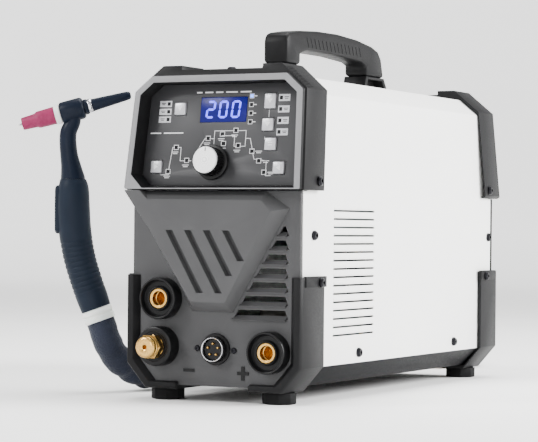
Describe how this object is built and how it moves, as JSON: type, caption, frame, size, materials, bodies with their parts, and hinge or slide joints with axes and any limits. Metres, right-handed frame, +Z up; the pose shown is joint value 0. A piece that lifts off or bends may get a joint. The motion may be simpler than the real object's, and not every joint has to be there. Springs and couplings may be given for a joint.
{
  "type": "tig welding machine",
  "caption": "Portable inverter TIG welding machine: white sheet case with dark moulded guards, leaning control panel, panel sockets, top handle, and an air-cooled torch on a coiled lead",
  "frame": {"origin": "on the floor, at the middle of the footprint of the machine and its torch, without the lead", "axes": "+Z up, +Y from the control panel to the rear, +X to the right when facing the control panel from the front"},
  "size_m": [0.3532, 0.8108, 0.3805],
  "materials": {
    "dark_powder_coat": "dark grey powder coat",
    "silver_button_plastic": "silver painted plastic",
    "black_plastic": "black satin plastic",
    "white_powder_coat": "fine-textured white powder coat",
    "chrome_plate": "chrome plate",
    "panel_film": "printed matt polycarbonate film",
    "plug_plastic": "black moulded plastic",
    "display_acrylic": "tinted glossy acrylic",
    "black_rubber": "matt black rubber",
    "grey_moulded_plastic": "satin moulded grey",
    "brass": "machined brass",
    "dark_moulded_plastic": "fine spark-eroded matt texture",
    "aluminium": "extruded aluminium",
    "hose_rubber": "black hose rubber",
    "leather_cover": "dark blue-black split leather with a sewn seam",
    "circuit_board": "green solder mask",
    "torch_plastic": "dark blue-black moulded plastic",
    "white_insulator": "white heat-resistant polymer",
    "pink_alumina": "unglazed pink alumina",
    "tungsten": "ground tungsten",
    "laminated_iron": "varnished laminated iron"
  },
  "bodies": {
    "case": {"base_tray": "dark_powder_coat", "cable_gland": "black_plastic", "case_cover": "white_powder_coat", "control_connector_insert": "black_plastic", "control_connector_shell": "chrome_plate", "control_panel": "panel_film", "control_plug": "plug_plastic", "display_window": "display_acrylic", "fan_frame": "black_plastic", "foot_front_left": "black_rubber", "foot_front_right": "black_rubber", "foot_rear_left": "black_rubber", "foot_rear_right": "black_rubber", "front_panel": "grey_moulded_plastic", "gas_inlet": "brass", "gas_outlet_flange": "black_plastic", "gas_outlet_nipple": "brass", "gas_valve": "brass", "handle_bracket_front": "dark_moulded_plastic", "handle_bracket_rear": "dark_moulded_plastic", "handle_grip": "dark_moulded_plastic", "heat_sink": "aluminium", "hose_coil": "hose_rubber", "hose_sleeve": "leather_cover", "lower_guard_front_left": "dark_moulded_plastic", "lower_guard_front_right": "dark_moulded_plastic", "lower_guard_rear_left": "dark_moulded_plastic", "lower_guard_rear_right": "dark_moulded_plastic", "main_board": "circuit_board", "mains_switch_housing": "black_plastic", "rear_panel": "dark_powder_coat", "rear_switch_plate": "panel_film", "sleeve_cuff": "black_rubber", "torch_body": "torch_plastic", "torch_collar": "white_insulator", "torch_cup": "pink_alumina", "torch_electrode": "tungsten", "torch_handle": "torch_plastic", "torch_hose": "hose_rubber", "torch_insulator": "white_insulator", "transformer": "laminated_iron", "upper_guard_front": "dark_moulded_plastic", "upper_guard_rear": "dark_moulded_plastic", "vent_cowl": "grey_moulded_plastic", "weld_plug": "black_rubber", "weld_socket_collar_left": "black_plastic", "weld_socket_collar_right": "black_plastic", "weld_socket_insert_left": "brass", "weld_socket_insert_right": "brass"},
    "encoder_knob_body": {"encoder_knob": "black_plastic"},
    "fan_rotor_body": {"fan_rotor": "black_plastic"},
    "mains_switch_rocker_body": {"mains_switch_rocker": "black_plastic"},
    "torch_trigger_body": {"torch_trigger": "black_plastic"},
    "torch_back_cap_body": {"torch_back_cap": "torch_plastic"},
    "button_torch_mode_body": {"button_torch_mode": "silver_button_plastic"},
    "button_step_left_body": {"button_step_left": "silver_button_plastic"},
    "button_pulse_body": {"button_pulse": "silver_button_plastic"},
    "button_polarity_body": {"button_polarity": "silver_button_plastic"},
    "button_memory_body": {"button_memory": "silver_button_plastic"},
    "button_step_right_body": {"button_step_right": "silver_button_plastic"}
  },
  "joints": [
    {"name": "knob_turn", "type": "hinge", "parent": "case", "child": "encoder_knob_body", "pos_m": [0.06078, -0.23796, 0.2345], "axis": [0, -0.9903, 0.1386], "continuous": true},
    {"name": "button_torch_mode_press", "type": "slide", "parent": "case", "child": "button_torch_mode_body", "axis": [0, 0.9903, -0.1386], "range_m": [0, 0.0008], "stiffness_N_per_m": 600, "springref_m": -0.001},
    {"name": "button_step_left_press", "type": "slide", "parent": "case", "child": "button_step_left_body", "axis": [0, 0.9903, -0.1386], "range_m": [0, 0.0008], "stiffness_N_per_m": 600, "springref_m": -0.001},
    {"name": "button_pulse_press", "type": "slide", "parent": "case", "child": "button_pulse_body", "axis": [0, 0.9903, -0.1386], "range_m": [0, 0.0008], "stiffness_N_per_m": 600, "springref_m": -0.001},
    {"name": "button_polarity_press", "type": "slide", "parent": "case", "child": "button_polarity_body", "axis": [0, 0.9903, -0.1386], "range_m": [0, 0.0008], "stiffness_N_per_m": 600, "springref_m": -0.001},
    {"name": "button_memory_press", "type": "slide", "parent": "case", "child": "button_memory_body", "axis": [0, 0.9903, -0.1386], "range_m": [0, 0.0008], "stiffness_N_per_m": 600, "springref_m": -0.001},
    {"name": "button_step_right_press", "type": "slide", "parent": "case", "child": "button_step_right_body", "axis": [0, 0.9903, -0.1386], "range_m": [0, 0.0008], "stiffness_N_per_m": 600, "springref_m": -0.001},
    {"name": "fan_spin", "type": "hinge", "parent": "case", "child": "fan_rotor_body", "pos_m": [0.06998, 0.23335, 0.125], "axis": [0, 1, 0], "continuous": true},
    {"name": "mains_rocker", "type": "hinge", "parent": "case", "child": "mains_switch_rocker_body", "pos_m": [0.02498, 0.24151, 0.262], "axis": [1, 0, 0], "range_deg": [0, 20]},
    {"name": "trigger_press", "type": "slide", "parent": "case", "child": "torch_trigger_body", "axis": [0.891, 0.454, 0], "range_m": [0, 0.002], "stiffness_N_per_m": 900, "springref_m": -0.001},
    {"name": "back_cap_unscrew", "type": "hinge", "parent": "case", "child": "torch_back_cap_body", "pos_m": [-0.12114, -0.21164, 0.2897], "axis": [0.8578, 0.4371, 0.2706], "range_deg": [0, 1080]}
  ]
}
